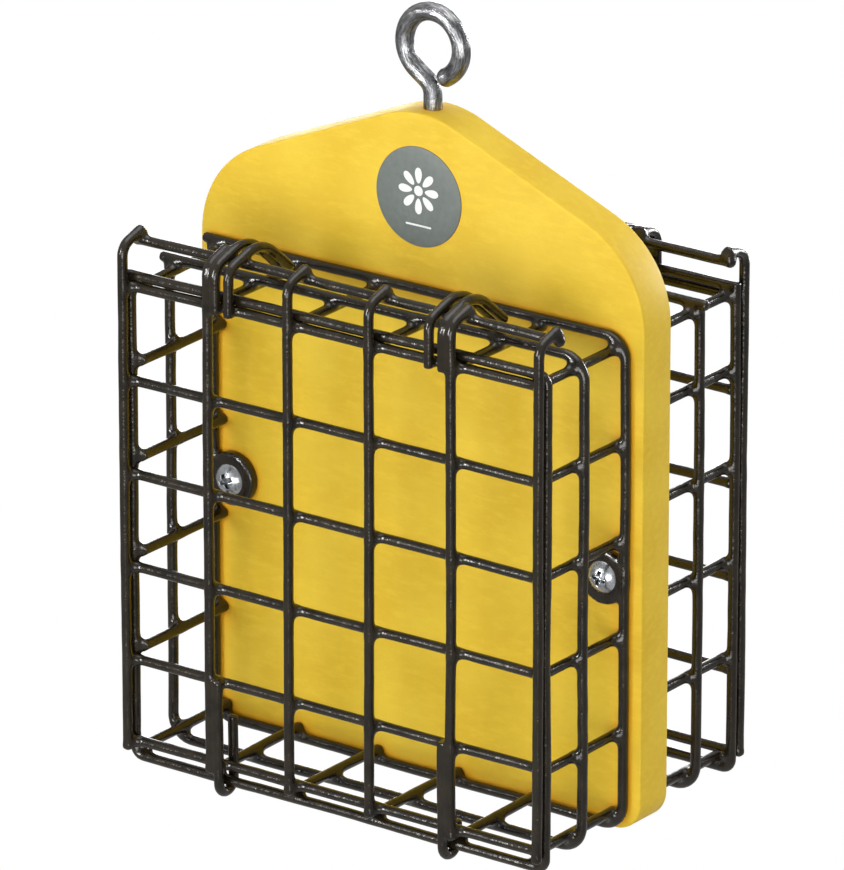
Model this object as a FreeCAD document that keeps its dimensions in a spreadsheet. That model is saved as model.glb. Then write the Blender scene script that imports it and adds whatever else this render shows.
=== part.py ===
import FreeCAD, Part

import math
import os
from collections import namedtuple

import Sketcher
from FreeCAD import Placement, Rotation, Vector

# A two-sided hanging suet feeder. A gable-topped plastic board hangs from an eye screw. Each face of the
# board carries a square wire cage with a wire door, which hinges at the foot and latches at the top.
#
# Frame: millimetres, +Z up, origin at the centre of the hanging eye. The front face looks along -Y.
# The back cage is the front cage turned half round about Z.

SIZES = {
    # Board
    "board_width": 139.0,
    "board_thickness": 12.0,
    "apex_drop": 14.4,             # eye centre down to where the two roof lines would meet
    "foot_drop": 195.7,            # eye centre down to the bottom edge
    "roof_slope": 22.5,            # degrees below level
    "roof_radius": 28.0,           # peak and shoulders
    "foot_radius": 8.0,
    "face_chamfer": 0.5,
    "label_diameter": 26.5,
    "label_thickness": 0.3,
    "label_drop": 38.7,
    # Eye screw
    "eye_wire": 4.9,
    "eye_radius": 8.8,             # centre line of the ring
    "eye_sweep": 300.0,            # degrees of ring before the cut end
    "neck_radius": 4.5,
    "neck_turn": 55.0,             # degrees between the ring's end and the shank
    "shank_tip_drop": 42.0,
    "shank_point": 4.0,
    # Cage
    "wire": 2.5,                   # all cage and door wire, with its vinyl coat
    "cage_half_width": 65.0,
    "cage_top_drop": 62.8,
    "cage_foot_drop": 194.3,
    "hoop_bend": 6.0,
    "front_hoop_bend": 2.6,        # tighter, to leave the door's rails their full width
    "hoop_overhang": 2.4,          # top wire's blunt end past the vertical
    "front_hoop_overhang": 1.2,    # front hoop: vertical's blunt end past the top wire
    "rear_hoop_depth": 7.25,
    "middle_hoop_depth": 25.25,
    "front_hoop_depth": 41.25,
    "depth_wire_start": 6.3,
    "depth_wire_end": 40.55,
    "corner_inset": 3.5,           # depth wire in a rounded corner of the hoops
    # Screws and their eyelets
    "screw_spread": 59.0,
    "screw_drop": 127.2,
    "eyelet_diameter": 14.0,
    "eyelet_thickness": 2.3,
    "eyelet_bore": 4.6,
    "screw_head_diameter": 8.6,
    "screw_head_rise": 2.6,
    "screw_dome_radius": 5.4,
    "screw_core": 3.5,
    "screw_depth": 5.6,            # core length inside the board
    "screw_point": 1.5,
    "recess_span": 4.6,
    "recess_width": 1.0,
    "recess_sink": 1.3,
    # Door
    "mesh": 25.4,                  # spacing of rails and uprights
    "door_half_width": 65.0,
    "rail_half_length": 63.2,      # rails end clear of the front hoop's verticals
    "rail_depth": 42.1,
    "upright_depth": 44.6,
    "first_rail_drop": 65.6,
    "last_rail_drop": 189.8,
    "upright_foot_drop": 191.2,
    "finger_corner_drop": 54.4,
    "finger_bend": 4.0,
    "finger_turn": 72.0,
    "finger_length": 5.6,
    "lip_depth": 37.0,
    "lip_drop": 54.6,
    "lip_half_length": 66.0,
    # Latch hairpins
    "hairpin_offset": 35.6,        # outer leg from the middle of the door
    "hairpin_gap": 4.2,            # leg to leg
    "latch_foot_drop": 66.6,
    "latch_reach": 5.2,            # straight over the lip rail
    "latch_curl_radius": 11.0,
    "latch_curl": 58.0,
    "latch_tail": 8.9,
    # Hinge hooks
    "hook_radius": 3.1,
    "hook_top_drop": 166.0,
    "left_hook_tail": 16.8,
    "right_hook_tail": 5.2,
}

X = Vector(1, 0, 0)
Y = Vector(0, 1, 0)
Z = Vector(0, 0, 1)

# Each cage is built for the front face, then placed on its own side of the board.
SIDES = {
    "front": Placement(),
    "back": Placement(Vector(), Rotation(Z, 180)),
}

# The steps that a wire is bent in. Lengths, radii and angles are expressions over the sheet.
Straight = namedtuple("Straight", "length")
Bend = namedtuple("Bend", "radius turn axis")

doc = FreeCAD.newDocument("HangingSuetFeeder")
nodes = []


def make_sheet():
    """The driving dimensions, one aliased cell each."""
    sheet = doc.addObject("Spreadsheet::Sheet", "Sizes")
    for row, (alias, value) in enumerate(SIZES.items(), start=1):
        sheet.set(f"A{row}", alias.replace("_", " "))
        sheet.set(f"B{row}", str(value))
        sheet.setAlias(f"B{row}", alias)
    doc.recompute()
    return sheet


sizes = make_sheet()


def size(expression):
    """The value of an expression over the sheet, as a plain number."""
    return float(sizes.evalExpression(expression))


def bind(item, **expressions):
    """Bind properties of a document object to expressions over the sheet."""
    for name, expression in expressions.items():
        item.setExpression(name, expression)


def add(kind, name, placement=None, **expressions):
    """A new document object with its sizes bound and its place set."""
    item = doc.addObject(kind, name)
    bind(item, **expressions)
    if placement is not None:
        item.Placement = placement
    return item


def node(label, item, side="front"):
    """Register a finished sub-part under the name of its file."""
    item.Label = label
    if side == "back":
        item.Placement = SIDES[side].multiply(item.Placement)
    nodes.append(item)
    return item


def group(name, pieces):
    """Separate solids kept together in one sub-part."""
    item = add("Part::Compound", name)
    item.Links = pieces
    return item


def fuse(name, pieces):
    item = add("Part::MultiFuse", name)
    item.Shapes = pieces
    return item


def cut(name, base, tool):
    item = add("Part::Cut", name)
    item.Base = base
    item.Tool = tool
    return item


def cylinder(name, start, heading, radius, length):
    """A round bar from a point along a heading."""
    return add("Part::Cylinder", name, Placement(start, Rotation(Z, heading)), Radius=radius, Height=length)


def straight_wire(name, start, heading, length):
    return cylinder(name, start, heading, "Sizes.wire / 2", length)


def bent_wire(name, start, heading, steps, radius="Sizes.wire / 2"):
    """A wire followed from its start through straights and bends, fused into one solid."""
    pieces = []
    for number, step in enumerate(steps, start=1):
        if isinstance(step, Straight):
            pieces.append(cylinder(f"{name}_straight_{number}", start, heading, radius, step.length))
            start = start + heading * size(step.length)
            continue
        bend_radius = size(step.radius)
        centre = start + step.axis.cross(heading) * bend_radius
        spoke = (start - centre).normalize()
        place = Placement(centre, Rotation(spoke, heading, step.axis, "XYZ"))
        pieces.append(add("Part::Torus", f"{name}_bend_{number}", place,
                          Radius1=step.radius, Radius2=radius, Angle3=step.turn))
        turn = Rotation(step.axis, size(step.turn))
        start = centre + turn.multVec(spoke) * bend_radius
        heading = turn.multVec(heading)
    return fuse(name, pieces)


def backwards(steps):
    """The same steps walked from the far end."""
    return [step if isinstance(step, Straight) else step._replace(axis=step.axis * -1)
            for step in reversed(steps)]


def trimmed(length, radius, turn):
    """What a bend at its end leaves of a run that is measured to the sharp corner."""
    return f"{length} - {radius} * tan({turn} / 2)"


# ---------------------------------------------------------------- board, label and eye screw

def new_sketch(body, name, plane):
    """An empty sketch on one of the body's own origin planes."""
    sketch = body.newObject("Sketcher::SketchObject", name)
    face = next(item for item in body.Origin.OriginFeatures if item.Role == plane)
    sketch.AttachmentSupport = [(face, "")]
    sketch.MapMode = "FlatFace"
    return sketch


def dimension(sketch, name, constraint, expression):
    """A named dimension in a sketch, bound to the sheet."""
    number = sketch.addConstraint(constraint)
    sketch.renameConstraint(number, name)
    sketch.setExpression(f"Constraints.{name}", expression)


def board_outline(body):
    """Five sides: level foot, upright sides and two roof lines that meet above the middle."""
    sketch = new_sketch(body, "BoardOutline", "XZ_Plane")
    half = size("Sizes.board_width / 2")
    foot = -size("Sizes.foot_drop")
    apex = -size("Sizes.apex_drop")
    shoulder = apex - half * math.tan(math.radians(size("Sizes.roof_slope")))
    corners = [Vector(-half, foot), Vector(half, foot), Vector(half, shoulder),
               Vector(0, apex), Vector(-half, shoulder)]
    bottom, right, right_roof, left_roof, left = range(5)
    vertical_axis, origin = -2, -1
    start, end = 1, 2
    for first, second in zip(corners, corners[1:] + corners[:1]):
        sketch.addGeometry(Part.LineSegment(first, second))
    for line in range(5):
        sketch.addConstraint(Sketcher.Constraint("Coincident", line, end, (line + 1) % 5, start))
    sketch.addConstraint(Sketcher.Constraint("Vertical", right))
    sketch.addConstraint(Sketcher.Constraint("Vertical", left))
    sketch.addConstraint(Sketcher.Constraint("PointOnObject", left_roof, start, vertical_axis))
    sketch.addConstraint(Sketcher.Constraint("Symmetric", bottom, start, bottom, end, vertical_axis))
    dimension(sketch, "width", Sketcher.Constraint("DistanceX", bottom, start, bottom, end, 2 * half),
              "Sizes.board_width")
    dimension(sketch, "foot", Sketcher.Constraint("DistanceY", bottom, start, origin, 1, -foot),
              "Sizes.foot_drop")
    dimension(sketch, "apex", Sketcher.Constraint("DistanceY", left_roof, start, origin, 1, -apex),
              "Sizes.apex_drop")
    rise = "Sizes.board_width / 2 * tan(Sizes.roof_slope)"
    dimension(sketch, "right_rise", Sketcher.Constraint("DistanceY", right, end, right_roof, end,
                                                        apex - shoulder), rise)
    dimension(sketch, "left_rise", Sketcher.Constraint("DistanceY", left, start, left_roof, start,
                                                       apex - shoulder), rise)
    return sketch


def edges_where(shape, wanted):
    return [f"Edge{number}" for number, edge in enumerate(shape.Edges, start=1) if wanted(edge)]


def crosses_board(edge):
    """True for an edge that runs straight from one face of the board to the other."""
    run = edge.Vertexes[-1].Point - edge.Vertexes[0].Point
    return abs(run.x) < 1e-6 and abs(run.z) < 1e-6


def hole_sketch(body, name, plane, centres, diameter):
    """Circles of one bound diameter. Each centre is a pair of expressions in the sketch's own axes."""
    sketch = new_sketch(body, name, plane)
    for number, (across, up) in enumerate(centres):
        centre = Vector(size(across), size(up), 0)
        sketch.addGeometry(Part.Circle(centre, Z, size(diameter) / 2))
        dimension(sketch, f"bore{number}", Sketcher.Constraint("Diameter", number, size(diameter)), diameter)
    return sketch


def make_board():
    body = add("PartDesign::Body", "Board")
    slab = body.newObject("PartDesign::Pad", "Slab")
    slab.Profile = board_outline(body)
    slab.SideType = "Symmetric"
    bind(slab, Length="Sizes.board_thickness")
    doc.recompute()

    foot = -size("Sizes.foot_drop")
    roof = body.newObject("PartDesign::Fillet", "RoofRounding")
    roof.Base = (slab, edges_where(slab.Shape, lambda edge: crosses_board(edge)
                                   and edge.Vertexes[0].Z > foot + 1))
    bind(roof, Radius="Sizes.roof_radius")
    doc.recompute()

    feet = body.newObject("PartDesign::Fillet", "FootRounding")
    feet.Base = (roof, edges_where(roof.Shape, lambda edge: crosses_board(edge)
                                   and edge.Vertexes[0].Z < foot + 1))
    bind(feet, Radius="Sizes.foot_radius")
    doc.recompute()

    rim = body.newObject("PartDesign::Chamfer", "FaceChamfer")
    rim.Base = (feet, edges_where(feet.Shape, lambda edge: not crosses_board(edge)))
    bind(rim, Size="Sizes.face_chamfer")
    doc.recompute()

    eye_hole = body.newObject("PartDesign::Pocket", "EyeHole")
    eye_hole.Profile = hole_sketch(body, "EyeHoleSketch", "XY_Plane", [("0", "0")], "Sizes.eye_wire")
    bind(eye_hole, Length="Sizes.shank_tip_drop")
    doc.recompute()

    screw_holes = body.newObject("PartDesign::Pocket", "ScrewHoles")
    centres = [(f"{sign} * Sizes.screw_spread", "-Sizes.screw_drop") for sign in (-1, 1)]
    screw_holes.Profile = hole_sketch(body, "ScrewHoleSketch", "XZ_Plane", centres, "Sizes.screw_core")
    screw_holes.SideType = "Symmetric"
    screw_holes.Type = "ThroughAll"
    doc.recompute()
    return node("board", body)


def make_label():
    """A thin round plate on the front face."""
    face = Vector(0, -size("Sizes.board_thickness / 2"), -size("Sizes.label_drop"))
    return node("label_disc", cylinder("LabelDisc", face, Y * -1, "Sizes.label_diameter / 2",
                                       "Sizes.label_thickness"))


def make_eye_screw():
    """Pointed shank, sideways neck and a ring that comes round to its cut end beside the neck."""
    ring = "Sizes.eye_radius"
    neck = "Sizes.neck_radius"
    turn = "Sizes.neck_turn"
    slant = f"({ring} * cos({turn}) - {neck} * (1 - cos({turn}))) / sin({turn})"
    shank_top = size(f"-({ring} + {neck}) * sin({turn}) - ({slant}) * cos({turn})")
    shank_foot = -size("Sizes.shank_tip_drop - Sizes.shank_point")
    steps = [
        Straight(f"{shank_top - shank_foot}"),
        Bend(neck, turn, Y * -1),
        Straight(slant),
        Bend(ring, "Sizes.eye_sweep", Y),
    ]
    wire = bent_wire("EyeScrewWire", Vector(0, 0, shank_foot), Z, steps, "Sizes.eye_wire / 2")
    point = add("Part::Cone", "EyeScrewPoint", Placement(Vector(0, 0, shank_foot), Rotation(X, 180)),
                Radius1="Sizes.eye_wire / 2", Radius2="Sizes.eye_wire / 10", Height="Sizes.shank_point")
    return node("eye_screw", fuse("EyeScrew", [wire, point]))


# ---------------------------------------------------------------- cages

def make_hoop(side, name, depth, blunt_end_up=False):
    """A square of wire parallel to the board. Its ends meet at the top left corner: the top wire
    runs past the vertical, or in the front hoop the vertical runs past the top wire."""
    half = size("Sizes.cage_half_width")
    radius = "Sizes.front_hoop_bend" if blunt_end_up else "Sizes.hoop_bend"
    overhang = "0" if blunt_end_up else "Sizes.hoop_overhang"
    rise = "Sizes.front_hoop_overhang" if blunt_end_up else "0"
    start = Vector(-half - size(overhang), -size(depth), -size("Sizes.cage_top_drop"))
    bend = Bend(radius, "90", Y)
    fall = "Sizes.cage_foot_drop - Sizes.cage_top_drop"
    steps = [
        Straight(f"2 * Sizes.cage_half_width + {overhang} - {radius}"),
        bend,
        Straight(f"{fall} - 2 * {radius}"),
        bend,
        Straight(f"2 * Sizes.cage_half_width - 2 * {radius}"),
        bend,
        Straight(f"{fall} + {rise} - {radius}"),
    ]
    return node(f"{side}_cage_{name}", bent_wire(f"{side}_{name}", start, X, steps), side)


def depth_wires(side, name, places):
    """Wires that run from the board to the door across the inside of the three hoops."""
    start = -size("Sizes.depth_wire_start")
    length = "Sizes.depth_wire_end - Sizes.depth_wire_start"
    wires = [straight_wire(f"{side}_{name}_{number}", Vector(across, start, up), Y * -1, length)
             for number, (across, up) in enumerate(places, start=1)]
    return node(f"{side}_cage_{name}", group(f"{side}_{name}", wires), side)


def make_depth_wires(side):
    wire = size("Sizes.wire")
    half = size("Sizes.cage_half_width")
    top = -size("Sizes.cage_top_drop")
    foot = -size("Sizes.cage_foot_drop")
    inset = size("Sizes.corner_inset")
    mesh = size("Sizes.mesh")
    left_rows = [top - 23.0 - 26.0 * row for row in range(4)]
    right_rows = [top - 28.5 - 26.0 * row for row in range(4)]
    columns = [(place - 1.5) * mesh * 1.01 for place in range(4)]
    left = [(wire - half, up) for up in [top - wire] + left_rows]
    depth_wires(side, "left_wires", left + [(inset - half, foot + inset)])
    right = [(half - wire, up) for up in right_rows]
    depth_wires(side, "right_wires", [(half - inset, top - inset)] + right + [(half - inset, foot + inset)])
    depth_wires(side, "top_wires", [(across, top - wire) for across in columns])
    depth_wires(side, "bottom_wires", [(across, foot + wire) for across in columns])


def screw_sites(start):
    """The middle of each eyelet, at a distance in front of the middle of the board."""
    spread = size("Sizes.screw_spread")
    return [Vector(sign * spread, -start, -size("Sizes.screw_drop")) for sign in (-1, 1)]


def make_eyelets(side):
    """Two dipped washers on the board's face, each cut flat where it meets the rear hoop's vertical."""
    face = size("Sizes.board_thickness / 2")
    inner_side = size("Sizes.cage_half_width - Sizes.wire / 2")
    reach = size("Sizes.eyelet_diameter")
    eyelets = []
    for number, site in enumerate(screw_sites(face), start=1):
        name = f"{side}_eyelet_{number}"
        disc = cylinder(f"{name}_disc", site, Y * -1, "Sizes.eyelet_diameter / 2", "Sizes.eyelet_thickness")
        bore = cylinder(f"{name}_bore", site, Y * -1, "Sizes.eyelet_bore / 2", "Sizes.eyelet_thickness")
        low_x = inner_side if site.x > 0 else -inner_side - reach
        beyond = Placement(Vector(low_x, -face - reach, site.z - reach / 2), Rotation())
        flat = add("Part::Box", f"{name}_flat", beyond, Length="Sizes.eyelet_diameter",
                   Width="Sizes.eyelet_diameter", Height="Sizes.eyelet_diameter")
        eyelets.append(cut(name, disc, fuse(f"{name}_waste", [bore, flat])))
    return node(f"{side}_cage_eyelets", group(f"{side}_eyelets", eyelets), side)


def make_screw(name, seat):
    """A domed pan head with a cross recess on a pointed core. The seat is the head's underside."""
    head = cylinder(f"{name}_head", seat, Y * -1, "Sizes.screw_head_diameter / 2", "Sizes.screw_head_rise")
    crown = seat - Y * size("Sizes.screw_head_rise")
    dome_centre = crown + Y * size("Sizes.screw_dome_radius")
    dome = add("Part::Sphere", f"{name}_dome", Placement(dome_centre, Rotation()),
               Radius="Sizes.screw_dome_radius")
    rounded = add("Part::Common", f"{name}_rounded_head")
    rounded.Base = head
    rounded.Tool = dome
    bars = []
    span = size("Sizes.recess_span")
    width = size("Sizes.recess_width")
    for number, (along, up) in enumerate(((span, width), (width, span))):
        corner = Vector(crown.x - along / 2, crown.y, crown.z - up / 2)
        bar = add("Part::Box", f"{name}_recess_{number}", Placement(corner, Rotation()),
                  Width="Sizes.recess_sink",
                  Length="Sizes.recess_span" if number == 0 else "Sizes.recess_width",
                  Height="Sizes.recess_width" if number == 0 else "Sizes.recess_span")
        bars.append(bar)
    recessed = cut(f"{name}_recessed_head", rounded, fuse(f"{name}_recess", bars))
    core_length = "Sizes.eyelet_thickness + Sizes.screw_depth - Sizes.screw_point"
    core = cylinder(f"{name}_core", seat, Y, "Sizes.screw_core / 2", core_length)
    point = add("Part::Cone", f"{name}_point", Placement(seat + Y * size(core_length), Rotation(Z, Y)),
                Radius1="Sizes.screw_core / 2", Radius2="Sizes.screw_core / 10", Height="Sizes.screw_point")
    return fuse(name, [recessed, core, point])


def make_screws(side):
    seats = screw_sites(size("Sizes.board_thickness / 2 + Sizes.eyelet_thickness"))
    screws = [make_screw(f"{side}_screw_{number}", seat) for number, seat in enumerate(seats, start=1)]
    return node(f"{side}_screws", group(f"{side}_screws_pair", screws), side)


# ---------------------------------------------------------------- doors

def make_uprights(side):
    """Six uprights, bent back over the cage into short fingers."""
    corner = trimmed("Sizes.upright_foot_drop - Sizes.finger_corner_drop", "Sizes.finger_bend",
                     "Sizes.finger_turn")
    steps = [
        Straight(corner),
        Bend("Sizes.finger_bend", "Sizes.finger_turn", X * -1),
        Straight("Sizes.finger_length"),
    ]
    half = size("Sizes.door_half_width")
    mesh = size("Sizes.mesh")
    columns = [-half] + [(place - 1.5) * mesh for place in range(4)] + [half]
    foot = -size("Sizes.upright_foot_drop")
    for number, across in enumerate(columns, start=1):
        start = Vector(across, -size("Sizes.upright_depth"), foot)
        name = f"{side}_door_upright_{number}"
        node(name, bent_wire(f"{name}_wire", start, Z, steps), side)


def make_rails(side):
    """Six rails behind the uprights, and the lip rail under the fingers."""
    first = size("Sizes.first_rail_drop")
    mesh = size("Sizes.mesh")
    drops = [first + mesh * row for row in range(5)] + [size("Sizes.last_rail_drop")]
    for number, drop in enumerate(drops, start=1):
        start = Vector(-size("Sizes.rail_half_length"), -size("Sizes.rail_depth"), -drop)
        name = f"{side}_door_rail_{number}"
        node(name, straight_wire(f"{name}_wire", start, X, "2 * Sizes.rail_half_length"), side)
    start = Vector(-size("Sizes.lip_half_length"), -size("Sizes.lip_depth"), -size("Sizes.lip_drop"))
    node(f"{side}_door_lip_rail", straight_wire(f"{side}_lip", start, X, "2 * Sizes.lip_half_length"), side)


def make_latch(side, hand, sign):
    """A hairpin of wire. Both legs rise between the uprights, pass over the lip rail and curl down to
    the closed end, which sits just behind and above the middle hoop's top wire."""
    to_corner = trimmed("Sizes.latch_foot_drop - Sizes.finger_corner_drop", "Sizes.finger_bend",
                        "Sizes.finger_turn")
    leg = [
        Straight(to_corner),
        Bend("Sizes.finger_bend", "Sizes.finger_turn", X * -1),
        Straight("Sizes.latch_reach"),
        Bend("Sizes.latch_curl_radius", "Sizes.latch_curl", X * -1),
        Straight("Sizes.latch_tail"),
    ]
    dip = math.radians(90 - size("Sizes.finger_turn") - size("Sizes.latch_curl"))
    end_heading = Vector(0, math.cos(dip), math.sin(dip))
    inward = X * -sign
    closed_end = Bend("Sizes.hairpin_gap / 2", "180", end_heading.cross(inward))
    start = Vector(sign * size("Sizes.hairpin_offset"), -size("Sizes.upright_depth"),
                   -size("Sizes.latch_foot_drop"))
    name = f"{side}_door_{hand}_latch"
    return node(name, bent_wire(f"{name}_wire", start, Z, leg + [closed_end] + backwards(leg)), side)


def make_hinge_hook(side, hand, sign, tail):
    """A wire that comes down beside an upright and turns up under the front hoop's bottom wire."""
    steps = [
        Straight("Sizes.cage_foot_drop - Sizes.hook_top_drop"),
        Bend("Sizes.hook_radius", "180", X),
        Straight(tail),
    ]
    start = Vector(sign * size("Sizes.hairpin_offset"), -size("Sizes.upright_depth"),
                   -size("Sizes.hook_top_drop"))
    name = f"{side}_door_{hand}_hinge_hook"
    return node(name, bent_wire(f"{name}_wire", start, Z * -1, steps), side)


def make_door(side):
    make_uprights(side)
    make_rails(side)
    make_latch(side, "left", -1)
    make_latch(side, "right", 1)
    make_hinge_hook(side, "left", -1, "Sizes.left_hook_tail")
    make_hinge_hook(side, "right", 1, "Sizes.right_hook_tail")


def make_cage(side):
    make_hoop(side, "rear_hoop", "Sizes.rear_hoop_depth")
    make_hoop(side, "middle_hoop", "Sizes.middle_hoop_depth")
    make_hoop(side, "front_hoop", "Sizes.front_hoop_depth", blunt_end_up=True)
    make_depth_wires(side)
    make_eyelets(side)
    make_screws(side)


# ---------------------------------------------------------------- assembly, checks and files

def check_document():
    """Stop if any object failed to build or any sub-part is not a sound solid."""
    for item in doc.Objects:
        if "Invalid" in item.State or "Error" in item.State:
            raise RuntimeError(f"{item.Label} failed: {item.State}")
    for item in nodes:
        shape = item.Shape
        if shape.isNull() or not shape.isValid() or not shape.Solids:
            raise RuntimeError(f"{item.Label} has no sound shape")
        print(f"{item.Label:34s} {len(shape.Solids)} solid(s) {shape.Volume:10.1f} mm3")


def write_parts():
    os.makedirs("parts", exist_ok=True)
    for item in nodes:
        item.Shape.exportStep(os.path.join("parts", f"{item.Label}.step"))


make_board()
make_label()
make_eye_screw()
for cage_side in SIDES:
    make_cage(cage_side)
    make_door(cage_side)
doc.recompute()
check_document()
write_parts()
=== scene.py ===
import math

import bmesh
import bpy
import numpy as np
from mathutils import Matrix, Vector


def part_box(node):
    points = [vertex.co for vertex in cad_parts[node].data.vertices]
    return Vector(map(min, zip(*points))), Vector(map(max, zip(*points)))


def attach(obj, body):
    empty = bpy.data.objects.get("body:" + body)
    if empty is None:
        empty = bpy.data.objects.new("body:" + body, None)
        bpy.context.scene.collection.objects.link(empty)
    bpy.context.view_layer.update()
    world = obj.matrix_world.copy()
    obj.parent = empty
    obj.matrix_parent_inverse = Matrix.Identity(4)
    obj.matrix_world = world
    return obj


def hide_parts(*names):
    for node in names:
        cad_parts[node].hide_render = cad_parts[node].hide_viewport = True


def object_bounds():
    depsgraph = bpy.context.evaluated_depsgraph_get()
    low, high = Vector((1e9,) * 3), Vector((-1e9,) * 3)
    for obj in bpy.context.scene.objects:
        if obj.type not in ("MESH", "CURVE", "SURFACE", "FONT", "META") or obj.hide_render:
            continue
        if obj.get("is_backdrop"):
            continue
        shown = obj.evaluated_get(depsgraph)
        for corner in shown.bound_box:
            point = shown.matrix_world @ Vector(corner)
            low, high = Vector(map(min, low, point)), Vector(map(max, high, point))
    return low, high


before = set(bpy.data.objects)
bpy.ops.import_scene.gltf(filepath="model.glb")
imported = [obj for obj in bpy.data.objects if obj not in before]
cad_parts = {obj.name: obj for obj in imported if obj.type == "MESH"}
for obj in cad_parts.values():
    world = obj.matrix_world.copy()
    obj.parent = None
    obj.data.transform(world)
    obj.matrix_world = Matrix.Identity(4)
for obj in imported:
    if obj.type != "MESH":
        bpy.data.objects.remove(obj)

import openvdb
from mathutils import Matrix, Vector

CAD_LOW, CAD_HIGH = (Vector(corner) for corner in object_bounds())
MM = 0.001


# ---------------------------------------------------------------- mesh helpers

def new_piece(name, points, faces, material, body, nodes=(), smooth=True):
    """A mesh that rides on a body, takes its finish from a slot and stands for CAD nodes."""
    mesh = bpy.data.meshes.new(name)
    mesh.from_pydata([tuple(point) for point in points], [], [tuple(face) for face in faces])
    mesh.validate()
    mesh.update()
    return finish_piece(name, mesh, material, body, nodes, smooth)


def finish_piece(name, mesh, material, body, nodes=(), smooth=True):
    """The same for a mesh that is already made."""
    mesh.materials.append(material)
    if smooth:
        mesh.shade_smooth()
    else:
        mesh.shade_flat()
    piece = bpy.data.objects.new(name, mesh)
    bpy.context.scene.collection.objects.link(piece)
    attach(piece, body)
    if nodes:
        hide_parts(*nodes)
    return piece


def lattice_noise(points, cell, seed):
    """Smooth noise from -1 to 1 at each point, with one random value per cell corner."""
    side = 32                       # cells before the noise repeats
    table = np.random.default_rng(seed).uniform(-1, 1, (side, side, side))
    scaled = np.asarray(points) / cell
    base = np.floor(scaled).astype(int)
    part = scaled - base
    part = part * part * (3 - 2 * part)
    total = np.zeros(len(scaled))
    for corner in np.ndindex(2, 2, 2):
        weight = np.prod(np.where(corner, part, 1 - part), axis=1)
        total += weight * table[tuple(((base + corner) % side).T)]
    return total


# ---------------------------------------------------------------- distance fields

BAND = 8                            # voxels of distance kept on each side of a surface


class Field:
    """A box of signed distances in metres, which solids are melted into one by one."""

    def __init__(self, low, high, voxel):
        self.voxel = voxel
        self.first = np.floor(np.asarray(low) / voxel).astype(int)
        self.shape = np.ceil(np.asarray(high) / voxel).astype(int) - self.first + 1
        self.far = BAND * voxel
        self.values = np.full(self.shape, self.far, dtype=np.float32)

    def window(self, low, high):
        """The part of the box between two corners: its slices and its sample points."""
        lower = np.floor(np.asarray(low) / self.voxel).astype(int) - self.first
        upper = np.ceil(np.asarray(high) / self.voxel).astype(int) - self.first + 1
        lower = np.clip(lower, 0, self.shape)
        upper = np.clip(upper, 0, self.shape)
        slices = tuple(slice(a, b) for a, b in zip(lower, upper))
        axes = [(np.arange(a, b) + start) * self.voxel
                for a, b, start in zip(lower, upper, self.first)]
        return slices, np.meshgrid(*axes, indexing="ij", sparse=True)

    def melt(self, slices, distance, blend):
        """Smooth union: the two surfaces run together over a width of about blend."""
        here = self.values[slices]
        overlap = np.maximum(blend - np.abs(here - distance), 0) / blend
        self.values[slices] = np.minimum(here, distance) - overlap * overlap * blend / 4

    def carve(self, slices, distance, blend):
        """Smooth difference."""
        here = self.values[slices]
        overlap = np.maximum(blend - np.abs(here + distance), 0) / blend
        self.values[slices] = np.maximum(here, -distance) + overlap * overlap * blend / 4

    def add_node(self, node, blend, grow=0.0):
        """Melt in a CAD node's own solids, thicker or thinner by grow."""
        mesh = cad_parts[node].data
        mesh.calc_loop_triangles()
        points = np.empty(len(mesh.vertices) * 3, dtype=np.float32)
        mesh.vertices.foreach_get("co", points)
        triangles = np.empty(len(mesh.loop_triangles) * 3, dtype=np.int32)
        mesh.loop_triangles.foreach_get("vertices", triangles)
        points = points.reshape(-1, 3)
        grid = openvdb.FloatGrid.createLevelSetFromPolygons(
            points.astype(np.float64), triangles=triangles.reshape(-1, 3).astype(np.uint32),
            transform=openvdb.createLinearTransform(self.voxel), halfWidth=BAND)
        margin = (BAND - 1) * self.voxel
        slices, _ = self.window(points.min(axis=0) - margin, points.max(axis=0) + margin)
        patch = np.full([part.stop - part.start for part in slices], self.far, dtype=np.float32)
        corner = [int(part.start + first) for part, first in zip(slices, self.first)]
        grid.copyToArray(patch, ijk=corner)
        self.melt(slices, patch - grow, blend)

    def add_ball(self, centre, radius, blend):
        centre = np.asarray(centre)
        reach = radius + blend + 2 * self.voxel
        slices, (x, y, z) = self.window(centre - reach, centre + reach)
        away = np.sqrt((x - centre[0]) ** 2 + (y - centre[1]) ** 2 + (z - centre[2]) ** 2)
        self.melt(slices, away - radius, blend)

    def add_disc(self, centre, radius, thickness, rounding, blend):
        """A rounded disc whose axis is along Y."""
        centre = np.asarray(centre)
        reach = radius + blend + 2 * self.voxel
        slices, (x, y, z) = self.window(centre - reach, centre + reach)
        across = np.sqrt((x - centre[0]) ** 2 + (z - centre[2]) ** 2) - radius + rounding
        along = np.abs(y - centre[1]) - thickness / 2 + rounding
        outside = np.sqrt(np.maximum(across, 0) ** 2 + np.maximum(along, 0) ** 2)
        self.melt(slices, outside + np.minimum(np.maximum(across, along), 0) - rounding, blend)

    def skin(self):
        """(points, faces) of the surface at distance 0."""
        grid = openvdb.FloatGrid(self.far)
        grid.copyFromArray(self.values, ijk=[int(value) for value in self.first])
        grid.transform = openvdb.createLinearTransform(self.voxel)
        points, triangles, quads = grid.convertToPolygons(isovalue=0.0, adaptivity=0.0)
        faces = [tuple(face[::-1]) for face in triangles.tolist()]
        faces += [tuple(face[::-1]) for face in quads.tolist()]
        return points.astype(np.float64), faces


def clip_to_cad(points):
    """Keep a skin inside the CAD model's box."""
    margin = 0.01 * MM
    return np.clip(points, np.array(CAD_LOW) + margin, np.array(CAD_HIGH) - margin)


# ---------------------------------------------------------------- materials

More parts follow.
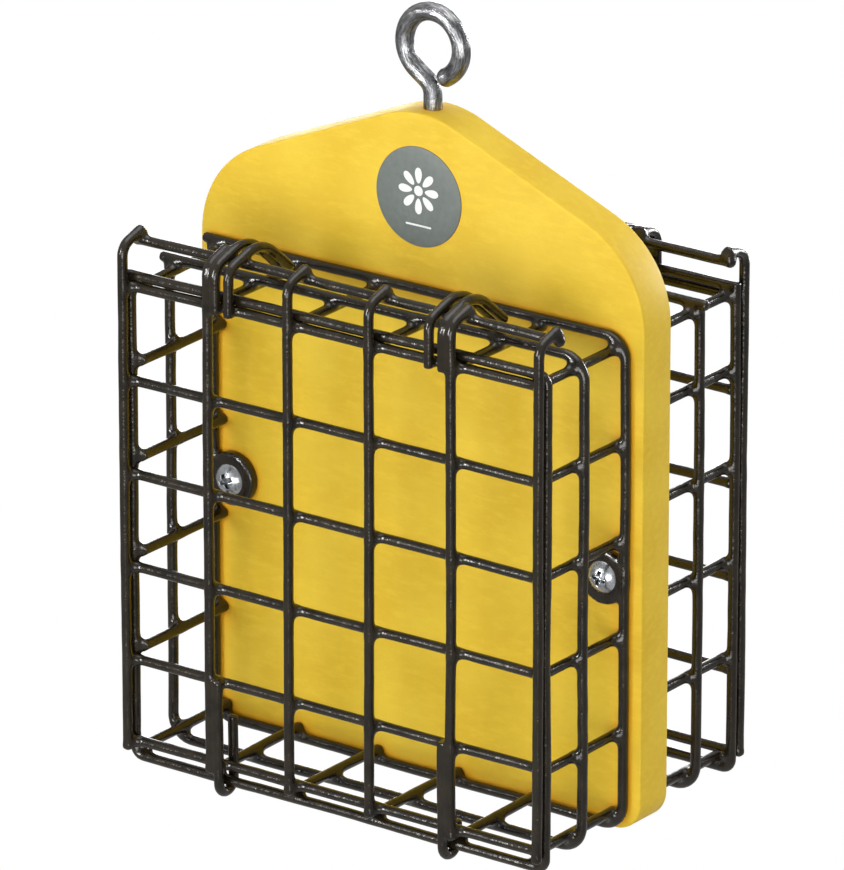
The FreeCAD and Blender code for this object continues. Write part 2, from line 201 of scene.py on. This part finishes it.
class Nodes:
    """A short way to write a material's node graph."""

    def __init__(self, name):
        self.material = bpy.data.materials.new(name)
        self.material.use_nodes = True
        self.tree = self.material.node_tree
        self.shader = self.tree.nodes["Principled BSDF"]
        self.place = self.add("ShaderNodeTexCoord").outputs["Object"]

    def add(self, kind, inputs=None, **settings):
        """A node with its settings, whose inputs are values or other nodes' outputs."""
        node = self.tree.nodes.new(kind)
        for key, value in settings.items():
            setattr(node, key, value)
        for key, value in (inputs or {}).items():
            if isinstance(value, bpy.types.NodeSocket):
                self.tree.links.new(value, node.inputs[key])
            else:
                node.inputs[key].default_value = value
        return node

    def noise(self, scale, detail, roughness, stretch=(1, 1, 1)):
        """Noise with a scale in cells per metre, stretched along the axes."""
        place = self.add("ShaderNodeMapping", {"Vector": self.place, "Scale": stretch})
        inputs = {"Vector": place.outputs["Vector"], "Scale": scale, "Detail": detail,
                  "Roughness": roughness}
        return self.add("ShaderNodeTexNoise", inputs).outputs["Fac"]

    def ramp(self, value, low, high, from_low, from_high):
        """Carry the values between from_low and from_high over to low and high."""
        inputs = {"Value": value, "From Min": from_low, "From Max": from_high, "To Min": low,
                  "To Max": high}
        return self.add("ShaderNodeMapRange", inputs).outputs["Result"]

    def mix(self, factor, first, second):
        """Two colours: the first where the factor is 0, and the second where it is 1."""
        node = self.add("ShaderNodeMix", data_type="RGBA")
        for key, value in ((0, factor), (6, first), (7, second)):
            if isinstance(value, bpy.types.NodeSocket):
                self.tree.links.new(value, node.inputs[key])
            else:
                node.inputs[key].default_value = value
        return node.outputs[2]

    def shelter(self, distance):
        """1 in the open, down to 0 where other surfaces stand within a distance."""
        node = self.add("ShaderNodeAmbientOcclusion", {"Distance": distance}, samples=6)
        return node.outputs["AO"]

    def bump(self, height, distance, strength, before=None):
        """Relief of a distance in metres, over the relief before it."""
        inputs = {"Height": height, "Distance": distance, "Strength": strength}
        if before is not None:
            inputs["Normal"] = before
        return self.add("ShaderNodeBump", inputs).outputs["Normal"]

    def set(self, **values):
        """Fill in the shader's sockets, named with _ for a space."""
        for key, value in values.items():
            socket = self.shader.inputs[key.replace("_", " ")]
            if isinstance(value, bpy.types.NodeSocket):
                self.tree.links.new(value, socket)
            else:
                socket.default_value = value


def plastic_material():
    """Recycled yellow polyethylene: faint clouds, a fine level grain, small specks, and painted
    shade: a deeper orange where the wires stand close to the board."""
    nodes = Nodes("yellow_polyethylene")
    clouds = nodes.noise(45, 4, 0.55)
    grain = nodes.noise(420, 4, 0.6, (0.45, 1.0, 1.5))
    specks = nodes.noise(2400, 2, 0.5)
    base = nodes.mix(nodes.ramp(clouds, 0, 1, 0.36, 0.66), (0.690, 0.450, 0.027, 1),
                     (0.750, 0.522, 0.042, 1))
    base = nodes.mix(nodes.ramp(grain, 0, 0.55, 0.46, 0.70), base, (0.80, 0.56, 0.045, 1))
    base = nodes.mix(nodes.ramp(specks, 0, 0.22, 0.60, 0.74), base, (0.58, 0.36, 0.015, 1))
    # painted shade: the board turns a deeper orange where wires stand within a few millimetres
    painted_shade_near_wire = nodes.ramp(nodes.shelter(5.5 * MM), 0.75, 0, 0.40, 0.90)
    base = nodes.mix(painted_shade_near_wire, base, (0.86, 0.34, 0.008, 1))
    rough = nodes.ramp(nodes.noise(260, 4, 0.6), 0.40, 0.58, 0.3, 0.7)
    normal = nodes.bump(nodes.noise(300, 4, 0.55), 0.00020, 0.4)
    normal = nodes.bump(grain, 0.00006, 0.5, normal)
    nodes.set(Base_Color=base, Roughness=rough, Normal=normal, IOR=1.45, Specular_IOR_Level=0.22)
    return nodes.material


def vinyl_material():
    """Near-black brown dipped vinyl with a wet gloss that varies along the wire."""
    nodes = Nodes("dipped_vinyl")
    tone = nodes.noise(160, 4, 0.6)
    base = nodes.mix(nodes.ramp(tone, 0, 1, 0.35, 0.68), (0.0085, 0.0063, 0.0034, 1),
                     (0.0230, 0.0166, 0.0084, 1))
    rough = nodes.ramp(nodes.noise(380, 4, 0.6), 0.08, 0.22, 0.3, 0.7)
    normal = nodes.bump(nodes.noise(560, 3, 0.6), 0.00018, 0.65)
    normal = nodes.bump(nodes.noise(2200, 2, 0.5), 0.00003, 0.55, normal)
    nodes.set(Base_Color=base, Roughness=rough, Normal=normal, IOR=1.5, Specular_IOR_Level=0.50)
    return nodes.material


def zinc_material(name, dark, light, rough_low, rough_high, streak=None):
    """Zinc plate with dull patches. A streak is the name of a vertex vector that changes slowly
    along the drawn wire, so that noise over it makes lines that follow the wire. Without one,
    recesses get painted shade: the base darkens where other surfaces stand close."""
    nodes = Nodes(name)
    patches = nodes.noise(300, 4, 0.6)
    base = nodes.mix(nodes.ramp(patches, 0, 1, 0.35, 0.66), dark, light)
    dull = nodes.ramp(nodes.noise(1500, 3, 0.6), 0, 0.6, 0.55, 0.75)
    base = nodes.mix(dull, base, (0.30, 0.31, 0.33, 1))
    rough = nodes.ramp(nodes.noise(700, 4, 0.65), rough_low, rough_high, 0.3, 0.7)
    normal = nodes.bump(nodes.noise(1300, 4, 0.6), 0.00006, 0.5)
    if streak:
        drawn = nodes.add("ShaderNodeAttribute", attribute_name=streak).outputs["Vector"]
        lines = nodes.add("ShaderNodeTexNoise", {"Vector": drawn, "Scale": 5.0, "Detail": 5.0,
                                                 "Roughness": 0.65}).outputs["Fac"]
        base = nodes.mix(nodes.ramp(lines, 0, 0.9, 0.42, 0.62), base, (0.085, 0.087, 0.095, 1))
        normal = nodes.bump(lines, 0.00025, 0.6, normal)
    else:
        # painted shade: the base darkens to near black in recesses such as the cross recess
        recess = nodes.ramp(nodes.shelter(1.2 * MM), 0.9, 0, 0.25, 0.85)
        base = nodes.mix(recess, base, (0.05, 0.055, 0.065, 1))
    nodes.set(Base_Color=base, Roughness=rough, Metallic=1.0, Normal=normal)
    return nodes.material


def label_material():
    """A matt grey-green printed label."""
    nodes = Nodes("label_grey")
    tone = nodes.ramp(nodes.noise(600, 4, 0.6), 0, 1, 0.35, 0.7)
    base = nodes.mix(tone, (0.125, 0.145, 0.130, 1), (0.150, 0.170, 0.152, 1))
    rough = nodes.ramp(nodes.noise(900, 3, 0.6), 0.42, 0.60, 0.3, 0.7)
    normal = nodes.bump(nodes.noise(2400, 3, 0.6), 0.00003, 0.4)
    nodes.set(Base_Color=base, Roughness=rough, Normal=normal)
    return nodes.material


def print_material():
    """Off-white ink."""
    nodes = Nodes("label_ink")
    tone = nodes.ramp(nodes.noise(1800, 3, 0.6), 0, 1, 0.35, 0.7)
    base = nodes.mix(tone, (0.74, 0.75, 0.73, 1), (0.84, 0.85, 0.83, 1))
    rough = nodes.ramp(nodes.noise(1500, 3, 0.6), 0.40, 0.55, 0.3, 0.7)
    normal = nodes.bump(nodes.noise(3000, 2, 0.6), 0.00002, 0.4)
    nodes.set(Base_Color=base, Roughness=rough, Normal=normal)
    return nodes.material


def floor_material():
    """Backlit white paper: pale to look at, while it throws back little light onto the object."""
    nodes = Nodes("pale_floor")
    grain = nodes.mix(nodes.noise(6, 3, 0.5), (0.50, 0.50, 0.50, 1), (0.54, 0.54, 0.54, 1))
    nodes.set(Base_Color=grain, Roughness=0.9)
    glow = nodes.add("ShaderNodeEmission", {"Color": (1, 1, 1, 1), "Strength": 1.0})
    seen = nodes.add("ShaderNodeLightPath").outputs["Is Camera Ray"]
    parts = {0: seen, 1: nodes.shader.outputs["BSDF"], 2: glow.outputs["Emission"]}
    mix = nodes.add("ShaderNodeMixShader", parts)
    surface = nodes.tree.nodes["Material Output"].inputs["Surface"]
    nodes.tree.links.new(mix.outputs["Shader"], surface)
    return nodes.material


YELLOW = plastic_material()
VINYL = vinyl_material()
ZINC = zinc_material("zinc_wire", (0.19, 0.192, 0.198, 1), (0.54, 0.54, 0.545, 1), 0.14, 0.28,
                     "drawn")
SCREW_ZINC = zinc_material("zinc_screw", (0.42, 0.44, 0.47, 1), (0.64, 0.65, 0.66, 1), 0.14,
                           0.32)
LABEL = label_material()
INK = print_material()


WIRE_RADIUS = 1.25 * MM


# ---------------------------------------------------------------- board

def rounded_outline(corners, radii, steps=14):
    """A closed outline whose corners are arcs, tangent to the sides."""
    outline = []
    count = len(corners)
    for number in range(count):
        corner = Vector(corners[number])
        to_last = (Vector(corners[number - 1]) - corner).normalized()
        to_next = (Vector(corners[(number + 1) % count]) - corner).normalized()
        half_angle = to_last.angle(to_next) / 2
        radius = radii[number]
        centre = corner + (to_last + to_next).normalized() * (radius / math.sin(half_angle))
        first = corner + to_last * (radius / math.tan(half_angle)) - centre
        turn = math.pi - 2 * half_angle
        for step in range(steps + 1):
            angle = turn * step / steps
            outline.append(centre + Matrix.Rotation(angle, 2) @ first)
    return outline


def make_board():
    """The gabled slab, with the edges of its two faces eased."""
    low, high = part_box("board")
    half = (high[0] - low[0]) / 2
    slope = math.radians(22.5)
    roof_radius = 28.0 * MM
    foot_radius = 8.0 * MM
    edge_radius = 0.6 * MM
    apex = high[2] + roof_radius * (1 / math.cos(slope) - 1)
    shoulder = apex - half * math.tan(slope)
    corners = [(-half, low[2]), (half, low[2]), (half, shoulder), (0, apex), (-half, shoulder)]
    radii = [foot_radius, foot_radius, roof_radius, roof_radius, roof_radius]
    outline = rounded_outline(corners, radii)

    work = bmesh.new()
    front = [work.verts.new((point.x, low[1], point.y)) for point in outline]
    face = work.faces.new(front)
    back = bmesh.ops.extrude_face_region(work, geom=[face])["geom"]
    moved = [item for item in back if isinstance(item, bmesh.types.BMVert)]
    bmesh.ops.translate(work, vec=(0, high[1] - low[1], 0), verts=moved)
    bmesh.ops.recalc_face_normals(work, faces=work.faces)
    rims = [edge for edge in work.edges if abs(edge.verts[0].co.y - edge.verts[1].co.y) < 1e-9]
    bmesh.ops.bevel(work, geom=rims, offset=edge_radius, segments=4, profile=0.5, affect="EDGES")
    mesh = bpy.data.meshes.new("board_slab")
    work.to_mesh(mesh)
    work.free()
    finish_piece("board_slab", mesh, YELLOW, "root", ["board"])
    mesh.set_sharp_from_angle(angle=math.radians(35))


def make_label():
    """A thin domed-edge plate with a generic flower printed on it."""
    low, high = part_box("label_disc")
    centre = (Vector(low) + Vector(high)) / 2
    radius = (high[0] - low[0]) / 2
    back, front = high[1], low[1]
    rings = [(0.0, front), (radius * 0.5, front), (radius - 0.18 * MM, front),
             (radius - 0.06 * MM, front + 0.04 * MM), (radius, front + 0.14 * MM), (radius, back)]
    steps = 96
    points = []
    faces = []
    for ring_radius, depth in rings:
        for step in range(steps):
            angle = 2 * math.pi * step / steps
            points.append((centre.x + ring_radius * math.cos(angle), depth,
                           centre.z + ring_radius * math.sin(angle)))
    for ring in range(len(rings) - 1):
        for step in range(steps):
            after = (step + 1) % steps
            faces.append((ring * steps + step, ring * steps + after,
                          (ring + 1) * steps + after, (ring + 1) * steps + step))
    plate = new_piece("label_plate", points, faces, LABEL, "root", ["label_disc"])
    work = bmesh.new()
    work.from_mesh(plate.data)
    bmesh.ops.remove_doubles(work, verts=work.verts, dist=1e-7)
    bmesh.ops.recalc_face_normals(work, faces=work.faces)
    work.to_mesh(plate.data)
    work.free()
    make_print(centre, front)


def make_print(centre, front):
    """Ink a hair above the label: eight petals round a seed disc, over a plain bar."""
    petals = 8
    petal_steps = 24
    seed_steps = 32
    petal_centre, petal_half_length, petal_half_width = 4.1 * MM, 2.1 * MM, 0.95 * MM
    seed_radius = 1.35 * MM
    bar_half_length, bar_half_width, bar_rounding = 4.0 * MM, 0.25 * MM, 0.24 * MM
    bar_drop = 7.6 * MM
    shapes = []
    bloom = Vector((centre.x, centre.z + 1.6 * MM))
    for petal in range(petals):
        turn = Matrix.Rotation(2 * math.pi * petal / petals, 2)
        outline = []
        for step in range(petal_steps):
            angle = 2 * math.pi * step / petal_steps
            along = petal_centre + petal_half_length * math.cos(angle)
            fullness = 1.1 + 0.25 * math.cos(angle)        # wider away from the seed disc
            across = petal_half_width * math.sin(angle) * fullness
            outline.append(bloom + turn @ Vector((along, across)))
        shapes.append(outline)
    seed_edge = Vector((seed_radius, 0))
    shapes.append([bloom + Matrix.Rotation(2 * math.pi * step / seed_steps, 2) @ seed_edge
                   for step in range(seed_steps)])
    bar_corners = [(-bar_half_length, -bar_half_width), (bar_half_length, -bar_half_width),
                   (bar_half_length, bar_half_width), (-bar_half_length, bar_half_width)]
    bar = rounded_outline(bar_corners, [bar_rounding] * 4, 4)
    shapes.append([point + Vector((centre.x, centre.z - bar_drop)) for point in bar])
    thickness = 0.02 * MM
    work = bmesh.new()
    for outline in shapes:
        ring = [work.verts.new((point.x, front - thickness, point.y)) for point in outline]
        face = work.faces.new(ring)
        back = bmesh.ops.extrude_face_region(work, geom=[face])["geom"]
        moved = [item for item in back if isinstance(item, bmesh.types.BMVert)]
        bmesh.ops.translate(work, vec=(0, 2 * thickness, 0), verts=moved)
    bmesh.ops.recalc_face_normals(work, faces=work.faces)
    mesh = bpy.data.meshes.new("label_flower")
    work.to_mesh(mesh)
    work.free()
    finish_piece("label_flower", mesh, INK, "root", smooth=False)


# ---------------------------------------------------------------- eye screw and screws

def eye_screw_path(step):
    """Points along the eye screw's centre line in the XZ plane, from its foot to its cut end."""
    ring, neck = 8.8 * MM, 4.5 * MM              # bend radii
    turn, sweep = math.radians(55), math.radians(300)
    foot = -42 * MM
    slant = (ring * math.cos(turn) - neck * (1 - math.cos(turn))) / math.sin(turn)
    top = -(ring + neck) * math.sin(turn) - slant * math.cos(turn)
    path = [(0.0, z) for z in np.arange(foot, top, step)]
    path += [(-neck * (1 - math.cos(angle)), top + neck * math.sin(angle))
             for angle in np.arange(0, turn, step / neck)]
    x, z = -neck * (1 - math.cos(turn)), top + neck * math.sin(turn)
    path += [(x - along * math.sin(turn), z + along * math.cos(turn))
             for along in np.arange(0, slant, step)]
    path += [(-ring * math.cos(angle - turn), ring * math.sin(angle - turn))
             for angle in np.arange(0, sweep, step / ring)]
    return np.array(path)


def make_eye_screw():
    """The bent wire, its cut end rounded up to the neck and its drawn surface slightly uneven."""
    low, high = (np.array(corner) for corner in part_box("eye_screw"))
    field = Field(low - 2 * MM, high + 2 * MM, 0.25 * MM)
    field.add_node("eye_screw", 0.5 * MM, 0.04 * MM)
    path = eye_screw_path(0.4 * MM)
    cut_end = path[-1] - (path[-1] - path[-2]) * 0.6
    field.add_ball((cut_end[0], 0, cut_end[1]), 2.42 * MM, 0.3 * MM)
    points, faces = field.skin()
    points += (lattice_noise(points, 3 * MM, 11) * 0.02 * MM)[:, None]
    points = clip_to_cad(points)
    piece = new_piece("eye_screw_wire", points, faces, ZINC, "root", ["eye_screw"])
    mark_drawing(piece, path)


def mark_drawing(piece, path):
    """Store each vertex's streak vector: the angle round the wire, as a point on a circle, and the
    slow way along it."""
    slowness = 35                    # path points for each unit of the vector
    spots = np.array([vertex.co for vertex in piece.data.vertices])
    gaps = spots[:, None, [0, 2]] - path[None]
    nearest = np.argmin((gaps ** 2).sum(axis=2), axis=1)
    tangents = np.gradient(path, axis=0)[nearest]
    tangents /= np.linalg.norm(tangents, axis=1)[:, None]
    offset = spots[:, [0, 2]] - path[nearest]
    aside = offset[:, 0] * tangents[:, 1] - offset[:, 1] * tangents[:, 0]
    angle = np.arctan2(spots[:, 1], aside)
    drawn = np.stack([np.cos(angle), np.sin(angle), nearest / slowness], axis=1)
    attribute = piece.data.attributes.new("drawn", "FLOAT_VECTOR", "POINT")
    attribute.data.foreach_set("vector", drawn.astype(np.float32).ravel())


SCREW_RISE = 2.6 * MM


def make_screw(name, seat, out, spin, nodes):
    """A domed head with a tapered cross recess. The seat is the head's underside, and out is -1
    for a screw that faces -Y."""
    radius = 4.3 * MM
    rise = SCREW_RISE
    dome = 5.4 * MM
    wing_half_length, wing_half_width, recess_depth = 2.35 * MM, 0.55 * MM, 1.5 * MM
    end_taper, side_taper = 0.55, 0.12
    voxel = 0.09 * MM
    field = Field((-radius - MM, -radius - MM, -MM), (radius + MM, radius + MM, rise + MM), voxel)
    everywhere, (x, y, z) = field.window((-1, -1, -1), (1, 1, 1))
    across = np.sqrt(x * x + y * y)
    ball = np.sqrt(x * x + y * y + (z - rise + dome) ** 2) - dome
    slab = np.maximum(-z, across - radius)
    head = np.maximum(ball, slab)
    field.melt(everywhere, np.broadcast_to(head, field.shape), 0.3 * MM)
    turn_x = x * math.cos(spin) + y * math.sin(spin)
    turn_y = y * math.cos(spin) - x * math.sin(spin)
    depth = rise - z
    for along, aside in ((turn_x, turn_y), (turn_y, turn_x)):
        past_end = np.abs(along) - (wing_half_length - end_taper * depth)
        past_side = np.abs(aside) - (wing_half_width - side_taper * depth)
        wing = np.maximum(np.maximum(past_end, past_side), depth - recess_depth)
        field.carve(everywhere, np.broadcast_to(wing, field.shape), 0.25 * MM)
    points, faces = field.skin()
    placed = np.empty_like(points)
    placed[:, 0] = seat.x + points[:, 0]
    placed[:, 1] = seat.y + out * points[:, 2]
    placed[:, 2] = seat.z + points[:, 1] * -out
    new_piece(name, placed, faces, SCREW_ZINC, "root", nodes)


def make_screws(side, out):
    """Both heads of a side. Each is placed from the ends of the CAD pair's box."""
    node = f"{side}_screws"
    low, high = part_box(node)
    radius = (high[2] - low[2]) / 2
    face = low[1] if out < 0 else high[1]
    middle = (low[2] + high[2]) / 2
    spins = (25, -12) if out < 0 else (40, 5)
    for number, x in enumerate((low[0] + radius, high[0] - radius)):
        seat = Vector((x, face - out * SCREW_RISE, middle))
        spin = math.radians(spins[number])
        make_screw(f"{side}_screw_{number + 1}", seat, out, spin, [node] if number == 0 else [])


# ---------------------------------------------------------------- dipped wire

VOXEL = 0.52 * MM
COAT = 0.11 * MM                     # makes up for the flats of the CAD wires
WELD = 2.6 * MM                      # width of the fillets between welded wires
SOFT_WELD = 1.2 * MM                 # the same for the parts that are added last


def straight_ends(node):
    """The two end points of the axis of a straight CAD wire."""
    low, high = (np.array(corner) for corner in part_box(node))
    along = int(np.argmax(high - low))
    middle = (low + high) / 2
    ends = []
    for value in (low[along], high[along]):
        end = middle.copy()
        end[along] = value
        ends.append(end)
    return ends


def dip(points, seed):
    """The unevenness of a dipped coat: gentle waves along the wires, thick and thin stretches."""
    waves = np.stack([lattice_noise(points, 34 * MM, seed + axis) for axis in range(3)], axis=1)
    waves *= np.array([0.22, 0.10, 0.22]) * MM
    beads = np.stack([lattice_noise(points, 5 * MM, seed + 7 + axis) for axis in range(3)], axis=1)
    return points + waves + beads * 0.05 * MM


def coated_piece(name, body, groups, extra, seed):
    """One dipped weldment. groups are (nodes, blend) melted in order, and extra(field) adds the
    rest."""
    nodes = [node for members, _ in groups for node in members]
    corners = np.array([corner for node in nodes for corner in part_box(node)])
    pad = 3 * MM
    field = Field(corners.min(axis=0) - pad, corners.max(axis=0) + pad, VOXEL)
    for members, blend in groups:
        for node in members:
            field.add_node(node, blend, COAT)
    extra(field)
    points, faces = field.skin()
    points = clip_to_cad(dip(points, seed))
    new_piece(name, points, faces, VINYL, body, nodes)


def make_cage(side, seed):
    """The three hoops, the depth wires and the screw eyelets."""
    prefix = f"{side}_cage"
    hoops = [f"{prefix}_{name}_hoop" for name in ("rear", "middle", "front")]
    wires = [f"{prefix}_{name}_wires" for name in ("left", "right", "top", "bottom")]
    eyelets = f"{prefix}_eyelets"

    def extra(field):
        low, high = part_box(eyelets)
        radius = (high[2] - low[2]) / 2
        screw_low, screw_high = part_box(f"{side}_screws")
        head = (screw_high[2] - screw_low[2]) / 2
        thickness = high[1] - low[1]
        for x in (screw_low[0] + head, screw_high[0] - head):
            centre = (x, (low[1] + high[1]) / 2, (low[2] + high[2]) / 2)
            field.add_disc(centre, radius, thickness, 1.0 * MM, 1.2 * MM)

    groups = [(hoops, WELD), (wires, WELD), ([eyelets], SOFT_WELD)]
    coated_piece(f"{prefix}_wire", "root", groups, extra, seed)


def make_door(side, out, seed):
    """The uprights and rails, then the latches and hinge hooks that are welded to them."""
    prefix = f"{side}_door"
    rails = [f"{prefix}_rail_{number}" for number in range(1, 7)]
    uprights = [f"{prefix}_upright_{number}" for number in range(1, 7)]
    lip_rail = f"{prefix}_lip_rail"
    added = [f"{prefix}_{hand}_{part}"
             for hand in ("left", "right") for part in ("latch", "hinge_hook")]

    def extra(field):
        for node in rails + [lip_rail]:
            for end in straight_ends(node):
                field.add_ball(end, WIRE_RADIUS, 1.0 * MM)
        for node in uprights:
            low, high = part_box(node)
            x = (low[0] + high[0]) / 2
            y = low[1] + WIRE_RADIUS if out < 0 else high[1] - WIRE_RADIUS
            field.add_ball((x, y, low[2] + 0.3 * MM), 1.2 * MM, 0.8 * MM)

    groups = [(rails + uprights + [lip_rail], WELD), (added, SOFT_WELD)]
    coated_piece(f"{prefix}_wire", f"{side}_door", groups, extra, seed)


# ---------------------------------------------------------------- stage, light and camera

def make_stage():
    """A plain pale floor well below the hanging object and its open doors."""
    drop = CAD_LOW.z - 0.35
    half = 6.0                       # half of the floor's side, in metres
    points = [(-half, -half, drop), (half, -half, drop), (half, half, drop), (-half, half, drop)]
    mesh = bpy.data.meshes.new("floor")
    mesh.from_pydata(points, [], [(0, 1, 2, 3)])
    mesh.materials.append(floor_material())
    floor = bpy.data.objects.new("floor", mesh)
    bpy.context.scene.collection.objects.link(floor)
    floor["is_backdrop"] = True


def area_light(name, place, size, power, aim, spread):
    """A soft box that faces a point, and whose light stays within a spread in degrees."""
    data = bpy.data.lights.new(name, "AREA")
    data.shape = "RECTANGLE"
    data.size, data.size_y = size
    data.energy = power
    data.spread = math.radians(spread)
    light = bpy.data.objects.new(name, data)
    light.location = place
    light.rotation_mode = "QUATERNION"
    light.rotation_quaternion = (Vector(aim) - Vector(place)).to_track_quat("-Z", "Y")
    bpy.context.scene.collection.objects.link(light)
    return light


def make_world():
    """A pale backdrop for the camera. The object is lit by a soft dome, brighter overhead."""
    world = bpy.data.worlds.new("studio")
    world.use_nodes = True
    tree = world.node_tree
    backdrop = tree.nodes["Background"]
    backdrop.inputs["Color"].default_value = (1, 1, 1, 1)
    dome = tree.nodes.new("ShaderNodeBackground")
    direction = tree.nodes.new("ShaderNodeTexCoord")
    split = tree.nodes.new("ShaderNodeSeparateXYZ")
    rise = tree.nodes.new("ShaderNodeMapRange")
    rise.inputs["From Min"].default_value = 0.0
    rise.inputs["From Max"].default_value = 0.9
    rise.inputs["To Min"].default_value = 0.48
    rise.inputs["To Max"].default_value = 0.70
    seen = tree.nodes.new("ShaderNodeLightPath")
    mix = tree.nodes.new("ShaderNodeMixShader")
    links = tree.links
    links.new(direction.outputs["Generated"], split.inputs["Vector"])
    links.new(split.outputs["Z"], rise.inputs["Value"])
    links.new(rise.outputs["Result"], dome.inputs["Strength"])
    links.new(seen.outputs["Is Camera Ray"], mix.inputs["Fac"])
    links.new(dome.outputs["Background"], mix.inputs[1])
    links.new(backdrop.outputs["Background"], mix.inputs[2])
    links.new(mix.outputs["Shader"], tree.nodes["World Output"].inputs["Surface"])
    bpy.context.scene.world = world


def make_light(middle):
    """Soft boxes over, before and behind the object, and a narrow strip on each side that makes
    only the thin highlights on the wires."""
    make_world()
    above = middle + Vector((0.0, 0.1, 1.3))
    area_light("overhead", above, (1.4, 1.4), 4.4, middle, 100)
    for side, name in ((1, "front"), (-1, "rear")):
        key = middle + Vector((-0.55 * side, -1.5 * side, 0.3))
        fill = middle + Vector((0.65 * side, -1.4 * side, -0.15))
        strip = middle + Vector((-0.6 * side, -1.45 * side, 0.35))
        area_light(f"{name}_key", key, (0.6, 1.1), 1.7, middle, 60)
        area_light(f"{name}_fill", fill, (1.3, 1.1), 3.2, middle, 60)
        glint = area_light(f"{name}_glint", strip, (0.09, 0.9), 1.4, middle, 60)
        glint.visible_diffuse = False


def make_camera(middle):
    """Long lens, a little above the object and to the right of its front."""
    azimuth = math.radians(36.24)
    elevation = math.radians(20.24)
    distance = 2.4496
    aim = middle + Vector((-3.5, 0.0, -11.6)) * MM
    level = math.cos(elevation)
    back = Vector((math.sin(azimuth) * level, -math.cos(azimuth) * level, math.sin(elevation)))
    data = bpy.data.cameras.new("camera")
    data.sensor_width = 36.0
    data.lens = 397.1
    data.clip_start = 0.05
    data.clip_end = 50.0
    camera = bpy.data.objects.new("camera", data)
    camera.location = aim + back * distance
    camera.rotation_mode = "QUATERNION"
    camera.rotation_quaternion = (-back).to_track_quat("-Z", "Y")
    bpy.context.scene.collection.objects.link(camera)
    bpy.context.scene.camera = camera


MIDDLE = (CAD_LOW + CAD_HIGH) / 2
make_board()
make_label()
make_eye_screw()
for side_name, facing, first_seed in (("front", -1, 100), ("back", 1, 200)):
    make_screws(side_name, facing)
    make_cage(side_name, first_seed)
    make_door(side_name, facing, first_seed + 50)
make_stage()
make_light(MIDDLE)
make_camera(MIDDLE)
bpy.context.scene.view_settings.view_transform = "Standard"
